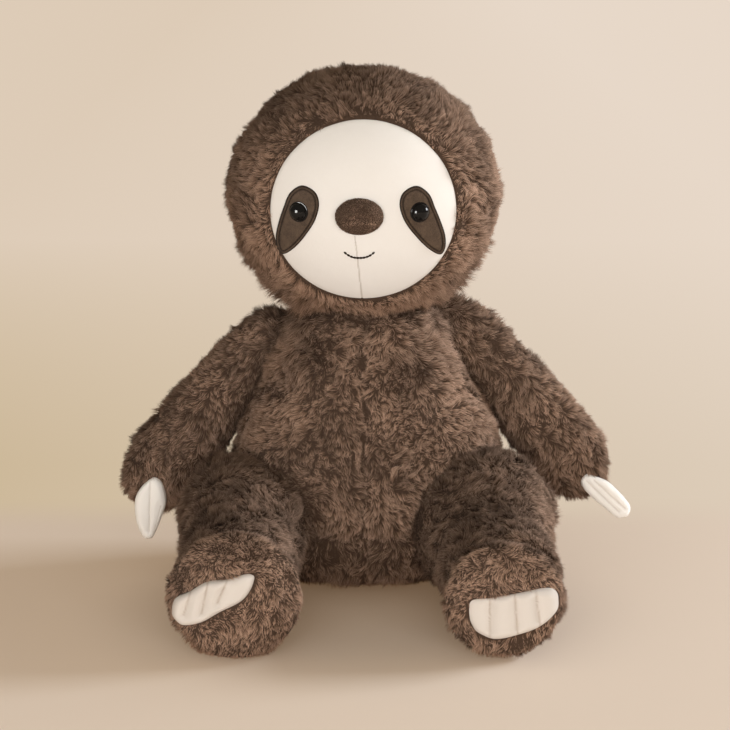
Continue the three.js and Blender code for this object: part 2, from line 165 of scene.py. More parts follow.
def grain(dye, scale, **settings):
    """A random grain of that scale, fixed to the piece."""
    place = dye.node("ShaderNodeTexCoord", out=3)
    return dye.node("ShaderNodeTexNoise", None, {"Vector": place, "Scale": scale, **settings})


PAPER = (0.67, 0.615, 0.56, 1)
PAPER_DARK = (0.65, 0.595, 0.54, 1)
PAPER_GLOW = (1.0, 0.62, 0.33, 1)
UNDER_TOY = (0, -0.1, 0)
UNDER_TOY_SHADOW_GLOW = (0.40, 0.20, 0.06, 1)
SWEEP_LEFT = (0.725, 0.60, 0.475, 1)
SWEEP_RIGHT = (0.80, 0.685, 0.58, 1)
BEND_LEFT = (0.565, 0.435, 0.262, 1)
BEND_RIGHT = (0.762, 0.650, 0.542, 1)
SWEEP_SIZE = 60
SWEEP_DROP = 0.0005
sweep = bmesh.new()
bmesh.ops.create_grid(sweep, x_segments=8, y_segments=8, size=SWEEP_SIZE)
bmesh.ops.translate(sweep, verts=sweep.verts, vec=(0, 0, -SWEEP_DROP))
floor_mesh = bpy.data.meshes.new("paper_sweep")
sweep.to_mesh(floor_mesh)
sweep.free()


def paper_paint(dye):
    place = dye.node("ShaderNodeTexCoord", out=3)
    away = dye.node(
        "ShaderNodeVectorMath", {"operation": "DISTANCE"}, {0: place, 1: UNDER_TOY}, out=1
    )
    # Painted light: the paper glows warm, and less right under the toy, a painted contact shadow.
    return {
        "Base Color": mixed(dye, grain(dye, 3.0, Detail=4.0), PAPER_DARK, PAPER),
        "Emission Color": mixed(dye, between(dye, away, 0.05, 0.19), UNDER_TOY_SHADOW_GLOW, PAPER_GLOW),
    }


paper = finish_of("sweep_paper", paper_paint, Roughness=0.9, Emission_Strength=0.21)
dye = Dye(paper.node_tree)
place = dye.node("ShaderNodeTexCoord", out=3)
crosswise = dye.node("ShaderNodeSeparateXYZ", None, {"Vector": place})
lengthwise = Dye(dye.tree, crosswise.socket.node.outputs[1])
apart = dye.node("ShaderNodeVectorMath", {"operation": "LENGTH"}, {0: place}, out=1)
far = dye.maths("MAXIMUM", between(dye, lengthwise, 0.10, 0.20), between(dye, apart, 0.5, 1.2))
rightward = between(dye, crosswise, -0.5, 0.5, "LINEAR")
rising = between(dye, lengthwise, 0.3, 1.5, "LINEAR")
seen = dye.node("ShaderNodeLightPath")
through = Dye(dye.tree, seen.socket.node.outputs["Is Transmission Ray"])
# The far sweep glows, painted darker to the left and lower down, painted shade from the lamp on the
# right.
bend = mixed(dye, rightward, BEND_LEFT, BEND_RIGHT)
wall = mixed(dye, rightward, SWEEP_LEFT, SWEEP_RIGHT)
glow = dye.node("ShaderNodeEmission", None, {"Color": mixed(dye, rising, bend, wall)})
lit = Dye(dye.tree, paper.node_tree.nodes["Principled BSDF"].outputs[0])
blend = dye.node("ShaderNodeMixShader", None, {0: far * (seen + through), 1: lit, 2: glow})
paper.node_tree.links.new(blend.socket, paper.node_tree.nodes["Material Output"].inputs[0])
floor_mesh.materials.append(paper)
placed("paper_sweep", floor_mesh)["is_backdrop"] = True

world = bpy.data.worlds.new("studio")
world.use_nodes = True
background = world.node_tree.nodes["Background"]
background.inputs["Color"].default_value = (1.0, 0.87, 0.68, 1)
background.inputs["Strength"].default_value = 0.24
scene.world = world

for name, place, aim, wide, high, power, colour in (
    ("key_softbox", (1.9, 0.35, 0.85), (0, 0, 0.1), 0.8, 0.6, 36, (0.93, 0.96, 1.0)),
    ("eye_lamp", (-1.2, -1.5, 0.32), (0, 0, 0.2), 0.8, 0.8, 70, (1.0, 0.97, 0.93)),
    ("front_softbox", (0.05, -2.2, 0.42), (0, 0, 0.2), 2.4, 0.8, 43, (1.0, 0.97, 0.93)),
):
    lamp = bpy.data.lights.new(name, "AREA")
    lamp.shape, lamp.size, lamp.size_y = "RECTANGLE", wide, high
    lamp.energy, lamp.color = power, colour
    softbox = placed(name, lamp)
    softbox.location = place
    softbox.visible_diffuse = name != "eye_lamp"
    softbox.visible_glossy = name != "front_softbox"
    softbox.rotation_euler = (Vector(aim) - Vector(place)).to_track_quat("-Z", "Y").to_euler()


# The stuffed body: polyester fibre over a pouch of plastic beans in the seat, held in by a dark
# brown knit backing that shows only as the shade between the hairs. It is drawn in along the
# seams of chest, sides and seat, and fuller at the shoulders and on the left of the waist.
def points_of(mesh, field="vertices", name="co", width=3, kind=np.float32):
    """The rows of a mesh's field, such as its vertices' places, as an array."""
    values = np.empty(len(getattr(mesh, field)) * width, kind)
    getattr(mesh, field).foreach_get(name, values)
    return values.reshape(-1, width).astype(float if kind is np.float32 else int)


def settle(piece):
    """Applies a piece's modifiers to its mesh."""
    bpy.context.view_layer.update()
    shown = piece.evaluated_get(bpy.context.evaluated_depsgraph_get())
    made = bpy.data.meshes.new_from_object(shown)
    piece.modifiers.clear()
    piece.data = made


KNIT_DARK = (0.030, 0.018, 0.012, 1)
KNIT_LIGHT = (0.080, 0.049, 0.033, 1)


def backing(dye):
    loops = grain(dye, 900.0)
    bump = dye.node("ShaderNodeBump", None, {"Height": loops, "Distance": 0.0004})
    return {"Base Color": mixed(dye, loops, KNIT_DARK, KNIT_LIGHT), "Normal": bump}


knit_backing = finish_of("knit_backing", backing, Roughness=0.95, Specular_IOR_Level=0.1)
FLOOR_GAP = 0.0004
SKIN_MESH = 0.005
SKIN_PUFF = 0.005
PUFF_CAP = 1.7 * SKIN_PUFF
CLOTH_PRESSURE = 20
CLOTH_FRAMES = 20


def stuffed_skin(name, *stuffing, girth, draw_in):
    """Copies the stuffing's solids, remeshes them as one knit skin cut a little large for their
    girth, fills it with Cloth pressure until it has swollen and draws in its seams."""
    knit = bmesh.new()
    for node in stuffing:
        knit.from_mesh(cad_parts[node].data)
    bmesh.ops.remove_doubles(knit, verts=knit.verts, dist=1e-6)
    mesh = bpy.data.meshes.new(name)
    knit.to_mesh(mesh)
    knit.free()
    skin = placed(name, mesh)
    remesh = skin.modifiers.new("knit", "REMESH")
    remesh.mode, remesh.voxel_size = "VOXEL", SKIN_MESH
    settle(skin)
    slack = points_of(skin.data)
    filling = skin.modifiers.new("filling", "CLOTH").settings
    filling.use_pressure = True
    filling.uniform_pressure_force = CLOTH_PRESSURE
    filling.effector_weights.gravity = 0
    filling.shrink_min = -SKIN_PUFF / girth
    for moment in range(1, CLOTH_FRAMES + 1):
        scene.frame_set(moment)
    settle(skin)
    scene.frame_set(1)
    pushed = points_of(skin.data) - slack
    reach = np.linalg.norm(pushed, axis=1, keepdims=True)
    pushed *= np.minimum(1, PUFF_CAP / np.maximum(reach, 1e-9))
    skin.data.vertices.foreach_set("co", (slack + pushed).astype(np.float32).ravel())
    rounding = skin.modifiers.new("rounding", "SUBSURF")
    rounding.levels = rounding.render_levels = 1
    settle(skin)
    skin.data.update()
    place = points_of(skin.data)
    inward = points_of(skin.data, "vertex_normals", "vector")
    place -= inward * draw_in(place)[:, None]
    place[:, 2] = np.maximum(place[:, 2], FLOOR_GAP)
    skin.data.vertices.foreach_set("co", place.astype(np.float32).ravel())
    skin.data.update()
    skin.data.shade_smooth()
    skin.data.materials.append(knit_backing)
    return skin


SIDE_SEAM_Y = 0.006
SEAT_SEAM_Z = 0.039
CHEST_SEAM_DEPTH = 0.003
SIDE_SEAM_DEPTH = 0.002
SEAT_SEAM_DEPTH = 0.003
SHOULDER_SWELL = 0.004
WAIST_SWELL = 0.005
WAIST_Z = 0.1


def crease(distance, width):
    """1 on a line, falling to 0 on both sides over about that width."""
    return np.exp(-((distance / width) ** 2))


def ramp(x, start, end):
    """From 0 to 1 as x goes from start to end."""
    return np.clip((x - start) / (end - start), 0, 1)


def shoulder_share(p):
    return ramp(p[:, 2], 0.13, 0.16) * ramp(np.abs(p[:, 0]), 0, 0.03)


def torso_seams(p):
    front = p[:, 1] < SIDE_SEAM_Y
    chest = crease(p[:, 0], 0.004) * front * (p[:, 2] > SEAT_SEAM_Z)
    side = crease(p[:, 1] - SIDE_SEAM_Y, 0.004) * (p[:, 2] > SEAT_SEAM_Z)
    seat = crease(p[:, 2] - SEAT_SEAM_Z, 0.005)
    waist = ramp(p[:, 0], 0.03, 0.07) * crease(p[:, 2] - WAIST_Z, 0.045)
    drawn = CHEST_SEAM_DEPTH * chest + SIDE_SEAM_DEPTH * side + SEAT_SEAM_DEPTH * seat
    return drawn - SHOULDER_SWELL * shoulder_share(p) - WAIST_SWELL * waist


torso_skin = stuffed_skin(
    "torso_skin", "torso_stuffing", "bean_pouch", girth=0.078, draw_in=torso_seams
)
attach(torso_skin, "torso")
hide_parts("torso_stuffing", "bean_pouch")


# The fur cloth of the body: short brown rabbit-like pile, dark at the root, partly as painted
# shade where the hairs shade each other, and taupe at the tip, cut as two chest panels, one back
# and one seat, and sewn pile side in. The pile is combed down, swirls where it was handled and
# parts a little along the seams. Its tone is painted lighter on the body's left side, towards
# the lamp, and painted darker as shade along the seams, low on the seat and close to other pieces.
def waves(p, length, seed, count=8):
    """A smooth random field over points, about 1 in size, with waves of about that length."""
    draw = np.random.default_rng(seed)
    ways = draw.normal(size=(count, 3))
    size = 2 * math.pi / length * draw.uniform(0.6, 1.5, count) / np.linalg.norm(ways, axis=1)
    ways *= size[:, None]
    return np.sin(p @ ways.T + draw.uniform(0, 2 * math.pi, count)).sum(1) / math.sqrt(count / 2)


def unit(v):
    """The same directions with a length of 1."""
    return v / np.maximum(np.linalg.norm(v, axis=1, keepdims=True), 1e-12)


hair = bmesh.new()
bmesh.ops.create_cone(
    hair, cap_ends=True, cap_tris=False, segments=3, radius1=1, radius2=0, depth=1
)
bmesh.ops.remove_doubles(hair, verts=hair.verts, dist=1e-4)
bmesh.ops.translate(hair, verts=hair.verts, vec=(0, 0, 0.5))
hair.verts.index_update()
HAIR = np.array([v.co for v in hair.verts])
HAIR_FACES = np.array([[v.index for v in f.verts] for f in hair.faces])
hair.free()

PILE = 0.0054
PILE_DENSITY = 1.6e6
HAIR_WIDTH = 0.00058
HAIR_ROOT = 0.0006
TUFT_AREA = 11e-6
TUFTS_IN_LOCK = 14
CLAW_REACH = 0.02
CLAW_GAP = 0.0003
SHORTEST_HAIR = 0.002


def nearest(points, marks):
    """For each point, which of the marks is nearest."""
    tree = kdtree.KDTree(len(marks))
    for i, mark in enumerate(marks):
        tree.insert(mark, i)
    tree.balance()
    return np.array([tree.find(p)[1] for p in points])


STUFFING_DEPTH = 0.006
PRESS_REACH = 0.011
PRESS_SHORTENS = 0.4


def pressed_and_shaded(points, *stuffing):
    """From 0 to 1, how close points are to other pieces, found from their stuffing's solids."""
    share = np.zeros(len(points))
    for node in stuffing:
        shape = bmesh.new()
        shape.from_mesh(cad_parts[node].data)
        solid = bvhtree.BVHTree.FromBMesh(shape)
        shape.free()
        for i, p in enumerate(points):
            near, facing, _, gap = solid.find_nearest(Vector(p), STUFFING_DEPTH + PRESS_REACH)
            if near is not None:
                gap = 0 if facing.dot(Vector(p) - near) < 0 else max(0, gap - STUFFING_DEPTH)
                share[i] = max(share[i], 1 - gap / PRESS_REACH)
    return share


# Darker towards the root: partly the pile's own colour, partly painted shade between the hairs.
ROOT_BROWN = (0.028, 0.016, 0.010)
MID_BROWN = (0.175, 0.108, 0.073)
TIP_TAUPE = (0.430, 0.290, 0.212)


def pile_colour(dye):
    chart = dye.node("ShaderNodeUVMap", {"uv_map": "OFBake"})
    parts = dye.node("ShaderNodeSeparateXYZ", None, {"Vector": chart})
    along = Dye(dye.tree, parts.socket.node.outputs[1])
    browns = dye.node(
        "ShaderNodeValToRGB",
        {"stops": ((0, ROOT_BROWN), (0.45, MID_BROWN), (0.95, TIP_TAUPE))},
        {"Fac": along},
    )
    depth = parts * 1.1 + 0.45
    shade = dye.node("ShaderNodeCombineXYZ", None, {0: depth, 1: depth, 2: depth})
    tinted = dye.node(
        "ShaderNodeMix", {"data_type": "RGBA", "blend_type": "MULTIPLY"},
        {0: 1.0, 6: browns, 7: shade}, out=2,
    )
    return {"Base Color": tinted}


fur_pile = finish_of("fur_pile", pile_colour, Roughness=0.9, Specular_IOR_Level=0.04)


def grow_pile(
    name, skin, seed, keep, lay, beside=(), density=PILE_DENSITY, pile=PILE, width=HAIR_WIDTH,
    lean=0.95, swirl=0.55, clump=0.36, tuft=TUFT_AREA, level=None, shy=(), light_and_tone=None,
):
    """Closed three-sided hairs on the part of a skin that keep(points) names, combed along
    lay(points). Their map, OFBake, holds each hair's tone and the way along it."""
    draw = np.random.default_rng(seed)
    skin.data.calc_loop_triangles()
    corners = points_of(skin.data, "loop_triangles", "vertices", 3, np.int32)
    co = points_of(skin.data)
    out = points_of(skin.data, "vertex_normals", "vector")
    corners = corners[keep(co[corners].mean(1))]
    a, b, c = (co[corners[:, i]] for i in range(3))
    area = np.linalg.norm(np.cross(b - a, c - a), axis=1) / 2
    count = int(area.sum() * density)
    face = np.searchsorted(np.cumsum(area), draw.uniform(0, area.sum(), count))
    face = np.minimum(face, len(area) - 1)
    u, v = draw.uniform(size=(2, count, 1))
    fold = u + v > 1
    u, v = np.where(fold, 1 - u, u), np.where(fold, 1 - v, v)
    root = a[face] + u * (b - a)[face] + v * (c - a)[face]
    n0, n1, n2 = (out[corners[face, i]] for i in range(3))
    up = unit(n0 + u * (n1 - n0) + v * (n2 - n0))

    tufts = max(8, int(area.sum() / tuft))
    centre = draw.choice(count, tufts, replace=False)
    of_tuft = nearest(root, root[centre])
    locks = max(4, tufts // TUFTS_IN_LOCK)
    size = math.sqrt(tuft * TUFTS_IN_LOCK)
    warp = np.stack([waves(root, size, seed + k) for k in (6, 7, 8)], 1)
    of_lock = nearest(root + 0.35 * size * warp, root[centre[:locks]])

    comb = lay(root)
    comb = unit(comb - up * (comb * up).sum(1, keepdims=True))
    across = np.cross(up, comb)
    turn = (
        swirl * (waves(root, 0.06, seed + 1) + 0.7 * waves(root, 0.02, seed + 5))
        + draw.normal(0, 0.5, locks)[of_lock]
        + draw.normal(0, 0.35, tufts)[of_tuft]
        + draw.normal(0, 0.2, count)
    )[:, None]
    tilt = (
        (lean(root) if callable(lean) else lean)
        + 0.14 * waves(root, 0.03, seed + 2)
        + draw.normal(0, 0.24, locks)[of_lock]
        + draw.normal(0, 0.16, count)
    )[:, None]
    way = comb * np.cos(turn) + across * np.sin(turn)
    way = unit(up * np.cos(tilt) + way * np.sin(tilt))
    long = pile * (1 + 0.14 * waves(root, 0.028, seed + 3))
    long *= draw.uniform(0.78, 1.12, count) * (1 + 0.12 * draw.normal(size=tufts)[of_tuft])
    long *= 1 + 0.12 * draw.normal(size=locks)[of_lock]
    close = pressed_and_shaded(root, *beside)
    long *= 1 - PRESS_SHORTENS * close
    if level is not None:
        long *= level(root)
    tip = root + way * long[:, None]
    tip += clump * draw.uniform(0.5, 1.2, (count, 1)) * (tip[centre][of_tuft] - tip)
    tip[:, 2] = np.maximum(tip[:, 2], FLOOR_GAP)
    root = root - HAIR_ROOT * up
    root[:, 2] = np.maximum(root[:, 2], FLOOR_GAP)
    clear = np.ones(count, bool)
    for neighbour in shy:
        solid = bvhtree.BVHTree.FromObject(neighbour, bpy.context.evaluated_depsgraph_get())
        for i, (p, q) in enumerate(zip(root, tip)):
            near, facing, _, _ = solid.find_nearest(Vector(p), CLAW_REACH)
            if near is None:
                continue
            if facing.dot(Vector(p) - near) < CLAW_GAP:
                clear[i] = False
                continue
            hit, _, _, reach = solid.ray_cast(Vector(p), Vector(q - p), np.linalg.norm(q - p))
            if hit is not None:
                tip[i] = p + (q - p) * max(0.0, reach - CLAW_GAP) / np.linalg.norm(q - p)
                clear[i] &= reach > SHORTEST_HAIR
    root, tip, up, of_tuft, of_lock, close = (
        x[clear] for x in (root, tip, up, of_tuft, of_lock, close)
    )
    count = len(root)

    along = tip - root
    side = unit(np.cross(along, up + 0.01))
    other = unit(np.cross(along, side))
    roll = draw.uniform(0, 2 * math.pi, (count, 1))
    side, other = (
        side * np.cos(roll) + other * np.sin(roll),
        other * np.cos(roll) - side * np.sin(roll),
    )
    thick = (width / 2 * draw.uniform(0.7, 1.25, (count, 1)))[:, None]
    where = (
        root[:, None]
        + HAIR[None, :, :1] * thick * side[:, None]
        + HAIR[None, :, 1:2] * thick * other[:, None]
        + HAIR[None, :, 2:] * along[:, None]
    )
    faces = (HAIR_FACES[None] + (np.arange(count) * len(HAIR))[:, None, None]).reshape(-1, 3)
    mesh = bpy.data.meshes.new(name)
    mesh.from_pydata(where.reshape(-1, 3), [], faces)
    # A hair's tone: its own random tone, with painted shade where another piece lies close.
    tone = (
        0.5
        - 0.45 * close**2
        + 0.10 * waves(root, 0.05, seed + 4)
        + draw.normal(0, 0.10, locks)[of_lock]
        + draw.normal(0, 0.15, tufts)[of_tuft]
        + draw.normal(0, 0.21, count)
    )
    # Added to the tone: painted light and shade for each panel, and the nose's own darker colour.
    if light_and_tone is not None:
        tone += light_and_tone(root)
    tone = np.clip(tone, 0.03, 0.97)
    height = HAIR[HAIR_FACES][:, :, 2]
    spread = np.array([-0.012, 0.0, 0.012])
    map_u = tone[:, None, None] + np.broadcast_to(spread, height.shape)
    map_v = np.broadcast_to(0.02 + 0.95 * height, map_u.shape) + np.abs(spread)
    chart = mesh.uv_layers.new(name="OFBake")
    chart.data.foreach_set("uv", np.stack([map_u, map_v], -1).astype(np.float32).ravel())
    outward = unit((where - where.mean(1, keepdims=True)).reshape(-1, 3))
    facing = unit(0.8 * np.repeat(up, len(HAIR), 0) + 0.5 * outward)
    mesh.normals_split_custom_set_from_vertices(facing)
    mesh.materials.append(fur_pile)
    return placed(name, mesh)


def combed_down(p):
    parted = 0.7 * np.sign(p[:, 0]) * crease(p[:, 0], 0.003) * (p[:, 1] < SIDE_SEAM_Y)
    return np.stack([parted, np.full(len(p), -0.25), np.full(len(p), -1.0)], 1)


def above_seat(p):
    return p[:, 2] >= SEAT_SEAM_Z


def chest_line(p):
    return crease(p[:, 0], 0.0013) * (p[:, 1] < SIDE_SEAM_Y) * above_seat(p)


def fuller_shoulders(p):
    return 1 + 0.7 * shoulder_share(p) - 0.3 * chest_line(p)


# Painted light on the body's left side, towards the lamp; painted shade along the chest and seat
# seams and low on the seat.
def torso_painted_light(p):
    seat_line = 0.25 * crease(p[:, 2] - SEAT_SEAM_Z, 0.002) * (p[:, 1] < SIDE_SEAM_Y)
    low = 0.15 * ramp(p[:, 2], 0.05, 0.03)
    return 0.22 * ramp(p[:, 0], 0, 0.05) - 0.4 * chest_line(p) - seat_line - low


def on_chest(p):
    return above_seat(p) & (p[:, 1] < SIDE_SEAM_Y)


for node, seed, thick, keep in (
    ("torso_front_left", 11, 1.0, lambda p: on_chest(p) & (p[:, 0] >= 0)),
    ("torso_front_right", 12, 1.0, lambda p: on_chest(p) & (p[:, 0] < 0)),
    ("torso_back", 13, 0.75, lambda p: above_seat(p) & (p[:, 1] >= SIDE_SEAM_Y)),
    ("seat_panel", 14, 0.65, lambda p: ~above_seat(p)),
):
    panel = grow_pile(
        node + "_fur", torso_skin, seed, keep, combed_down, density=thick * PILE_DENSITY,
        beside=(
            "head_stuffing", "left_arm_stuffing", "right_arm_stuffing", "left_leg_stuffing",
            "right_leg_stuffing",
        ),
        level=fuller_shoulders, light_and_tone=torso_painted_light,
    )
    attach(panel, "torso")
    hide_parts(node)


# The stuffed head: a ball of fibre in the same knit backing, drawn in along the seam that runs
# over it from side to side and flatter behind the face, with a short plug down into the neck.
HEAD_CENTRE = np.array((0, -0.006, 0.249))
HEAD_HALVES = np.array((0.086, 0.074, 0.080))
HOOD_SEAM_Y = 0.006
FACE_CENTRE_Z = 0.244
FACE_HALF_WIDTH = 0.0585
FACE_HALF_HEIGHT = 0.0575
HOOD_SEAM_DEPTH = 0.0015
FACE_DEPTH = 0.0035


def face_share(p):
    return np.hypot(p[:, 0] / FACE_HALF_WIDTH, (p[:, 2] - FACE_CENTRE_Z) / FACE_HALF_HEIGHT)


def head_seams(p):
    behind_face = ramp(face_share(p), 1.01, 0.96) * (p[:, 1] < HEAD_CENTRE[1])
    return HOOD_SEAM_DEPTH * crease(p[:, 1] - HOOD_SEAM_Y, 0.004) + FACE_DEPTH * behind_face


head_skin = stuffed_skin("head_skin", "head_stuffing", girth=0.072, draw_in=head_seams)
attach(head_skin, "head")
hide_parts("head_stuffing")


# The hood and the back of the head: the same fur cloth, with the face's opening cut in the hood.
# The pile is combed away from the face and then down, and is fullest round the cheeks. It is
# painted lighter round the face's rim, most under the chin, and darker on top, painted light
# and shade.
def rim_share(p):
    return ramp(face_share(p), 1.10, 1.04) * (p[:, 1] < HEAD_CENTRE[1])


def away_from_face(p):
    away = np.stack([p[:, 0], np.full(len(p), 0.03), p[:, 2] - FACE_CENTRE_Z - 0.015], 1)
    round_rim = np.stack([FACE_CENTRE_Z - p[:, 2], np.zeros(len(p)), p[:, 0]], 1)
    return away + 1.5 * rim_share(p)[:, None] * round_rim


def down_the_back(p):
    return np.stack([0.6 * p[:, 0], np.full(len(p), 0.01), np.full(len(p), -0.06)], 1)


def flat_at_rim(p):
    return 0.9 + 0.25 * rim_share(p)


# Painted light round the face's rim, strongest under the chin; painted shade on top of the head.
def hood_painted_light(p):
    low = ramp(p[:, 2], 0.27, 0.19)
    rim = ramp(face_share(p), 1.25, 1.05) * (p[:, 1] < HEAD_CENTRE[1])
    return (0.1 + 0.6 * low) * rim - 0.14 * ramp(p[:, 2], 0.28, 0.31)


def in_hood(p):
    behind_face = (face_share(p) < 0.99) & (p[:, 1] < HEAD_CENTRE[1])
    return (p[:, 1] < HOOD_SEAM_Y) & ~behind_face


def full_cheeks(p):
    low = 0.6 * ramp(p[:, 2], 0.225, 0.195) + 0.9 * ramp(p[:, 2], 0.2, 0.18)
    return 1 + low * ramp(np.abs(p[:, 0]), 0.018, 0.048) - 0.35 * rim_share(p)


for node, seed, thick, keep, lay, lean in (
    ("hood_front", 21, 0.92, in_hood, away_from_face, flat_at_rim),
    ("head_back", 22, 0.75, lambda p: p[:, 1] >= HOOD_SEAM_Y, down_the_back, 0.95),
):
    panel = grow_pile(
        node + "_fur", head_skin, seed, keep, lay, density=thick * PILE_DENSITY, lean=lean,
        beside=("torso_stuffing",), level=full_cheeks, light_and_tone=hood_painted_light,
    )
    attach(panel, "head")
    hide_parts(node)


# The face: an oval of cream brushed cloth stretched over the stuffing, with one dart sewn from
# the nose to the chin, and its edge turned in under the hood's.
FACE_INSET = 0.003
FACE_RINGS = 36
FACE_SPOKES = 144
FACE_TURN_IN = 0.0015
CLOTH_THICKNESS = 0.0008


def head_front(x, z, inset):
    """How far forward the head's surface is at x and z, that far inside the fur's tips."""
    half = HEAD_HALVES - inset
    rise = 1 - (x / half[0]) ** 2 - ((z - HEAD_CENTRE[2]) / half[2]) ** 2
    return HEAD_CENTRE[1] - half[1] * math.sqrt(max(rise, 0.0))


def new_piece(name, shape, *finishes):
    """The object of a finished bmesh."""
    mesh = bpy.data.meshes.new(name)
    shape.to_mesh(mesh)
    shape.free()
    for finish in finishes:
        mesh.materials.append(finish)
    mesh.shade_smooth()
    return placed(name, mesh)


oval = bmesh.new()
spoke = [oval.verts.new((i / FACE_RINGS, 0, 0)) for i in range(FACE_RINGS + 1)]
spoke += [oval.edges.new(pair) for pair in zip(spoke, spoke[1:])]
bmesh.ops.spin(
    oval, geom=spoke, cent=(0, 0, 0), axis=(0, 1, 0), angle=2 * math.pi, steps=FACE_SPOKES,
    use_merge=True,
)
bmesh.ops.remove_doubles(oval, verts=oval.verts, dist=1e-5)
bmesh.ops.scale(oval, verts=oval.verts, vec=(FACE_HALF_WIDTH, 1, FACE_HALF_HEIGHT))
bmesh.ops.translate(oval, verts=oval.verts, vec=(0, 0, FACE_CENTRE_Z))
DART_TOP = Vector((-0.0052, 0, 0.231))
DART_CHIN = Vector((-0.0009, 0, 0.189))
DART_WIDTH = 0.0009
DART_DEPTH = 0.0007
dart = (DART_CHIN - DART_TOP).normalized()
dart_across = Vector((-dart.z, 0, dart.x))
for step in (-1, 0, 1):
    bmesh.ops.bisect_plane(
        oval, geom=oval.verts[:] + oval.edges[:] + oval.faces[:], dist=1e-6,
        plane_co=DART_TOP + step * DART_WIDTH * dart_across, plane_no=dart_across,
    )
shade = oval.verts.layers.float.new("shade")
for v in oval.verts:
    share = math.hypot(v.co.x / FACE_HALF_WIDTH, (v.co.z - FACE_CENTRE_Z) / FACE_HALF_HEIGHT)
    v.co.y = head_front(v.co.x, v.co.z, FACE_INSET)
    v.co.y += FACE_TURN_IN * max(0.0, (share - 0.965) / 0.035) ** 2
    off = (v.co - DART_TOP).dot(dart_across)
    v[shade] = 0.6 * max(0.0, (share - 0.985) / 0.015)
    if v.co.z < DART_TOP.z and abs(off) < 1e-5:
        v.co.y += DART_DEPTH
        v[shade] = 0.5
bmesh.ops.recalc_face_normals(oval, faces=oval.faces)
if sum(f.normal.y for f in oval.faces) > 0:
    bmesh.ops.reverse_faces(oval, faces=oval.faces)
CREAM = (0.76, 0.735, 0.71, 1)
CREAM_SHADE = (0.72, 0.69, 0.655, 1)
SEAM_SHADE = (0.30, 0.22, 0.16, 1)


def cream_paint(dye, light=CREAM, dull=CREAM_SHADE):
    # The attribute shade holds painted shade: at the face's rim and along its dart, and on the
    # claws.
    seam = dye.node("ShaderNodeAttribute", {"attribute_name": "shade"}, out=2)
    nap = grain(dye, 1400.0, Detail=3.0)
    soft = grain(dye, 60.0, Detail=2.0)
    pucker = grain(dye, 190.0, Detail=2.0)
    bump = dye.node(
        "ShaderNodeBump", None, {"Height": nap * 0.3 + pucker, "Strength": 0.4, "Distance": 0.0006}
    )
    return {
        "Base Color": mixed(
            dye, seam, mixed(dye, nap * 0.5 + soft * 0.5, dull, light), SEAM_SHADE
        ),
        "Roughness": nap * 0.2 + 0.75,
        "Normal": bump,
    }


cream_cloth = finish_of("cream_cloth", cream_paint, Specular_IOR_Level=0.25, Sheen_Weight=0.15)
face = new_piece("face_cloth", oval, cream_cloth)
lining = face.modifiers.new("lining", "SOLIDIFY")
lining.thickness, lining.offset = CLOTH_THICKNESS, -1
settle(face)
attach(face, "head")
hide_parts("face_panel")


# The eyes: moulded black plastic safety eyes, a polished dome with a thin flange on a post that
# goes through patch and face to a white lock washer inside.
FEATURE_X = -0.0025
EYE_OUT = 0.037
EYE_Z = 0.245
EYE_RADIUS = 0.006
EYE_DOME = 0.005
EYE_RIM = 0.0006
EYE_STEPS = 16
EYE_FLANGE = 0.0063
POST_RADIUS = 0.0025
POST_LENGTH = 0.013
PATCH_INSET = 0.0012


def head_normal(x, z, inset):
    half = HEAD_HALVES - inset
    y = head_front(x, z, inset)
    return Vector((np.array((x, y, z)) - HEAD_CENTRE) / half**2).normalized()


def eye_paint(dye):
    haze = grain(dye, 500.0)
    return {
        "Base Color": mixed(dye, haze, (0.004, 0.004, 0.004, 1), (0.009, 0.008, 0.008, 1)),
        "Roughness": haze * 0.04 + 0.04,
    }


eye_plastic = finish_of(
    "eye_plastic", eye_paint, Specular_IOR_Level=0.2, Coat_Weight=0.1, Coat_Roughness=0.03
)


def washer_paint(dye):
    flecks = grain(dye, 700.0)
    return {
        "Base Color": mixed(dye, flecks, (0.72, 0.72, 0.68, 1), (0.80, 0.80, 0.77, 1)),
        "Roughness": flecks * 0.15 + 0.4,
    }


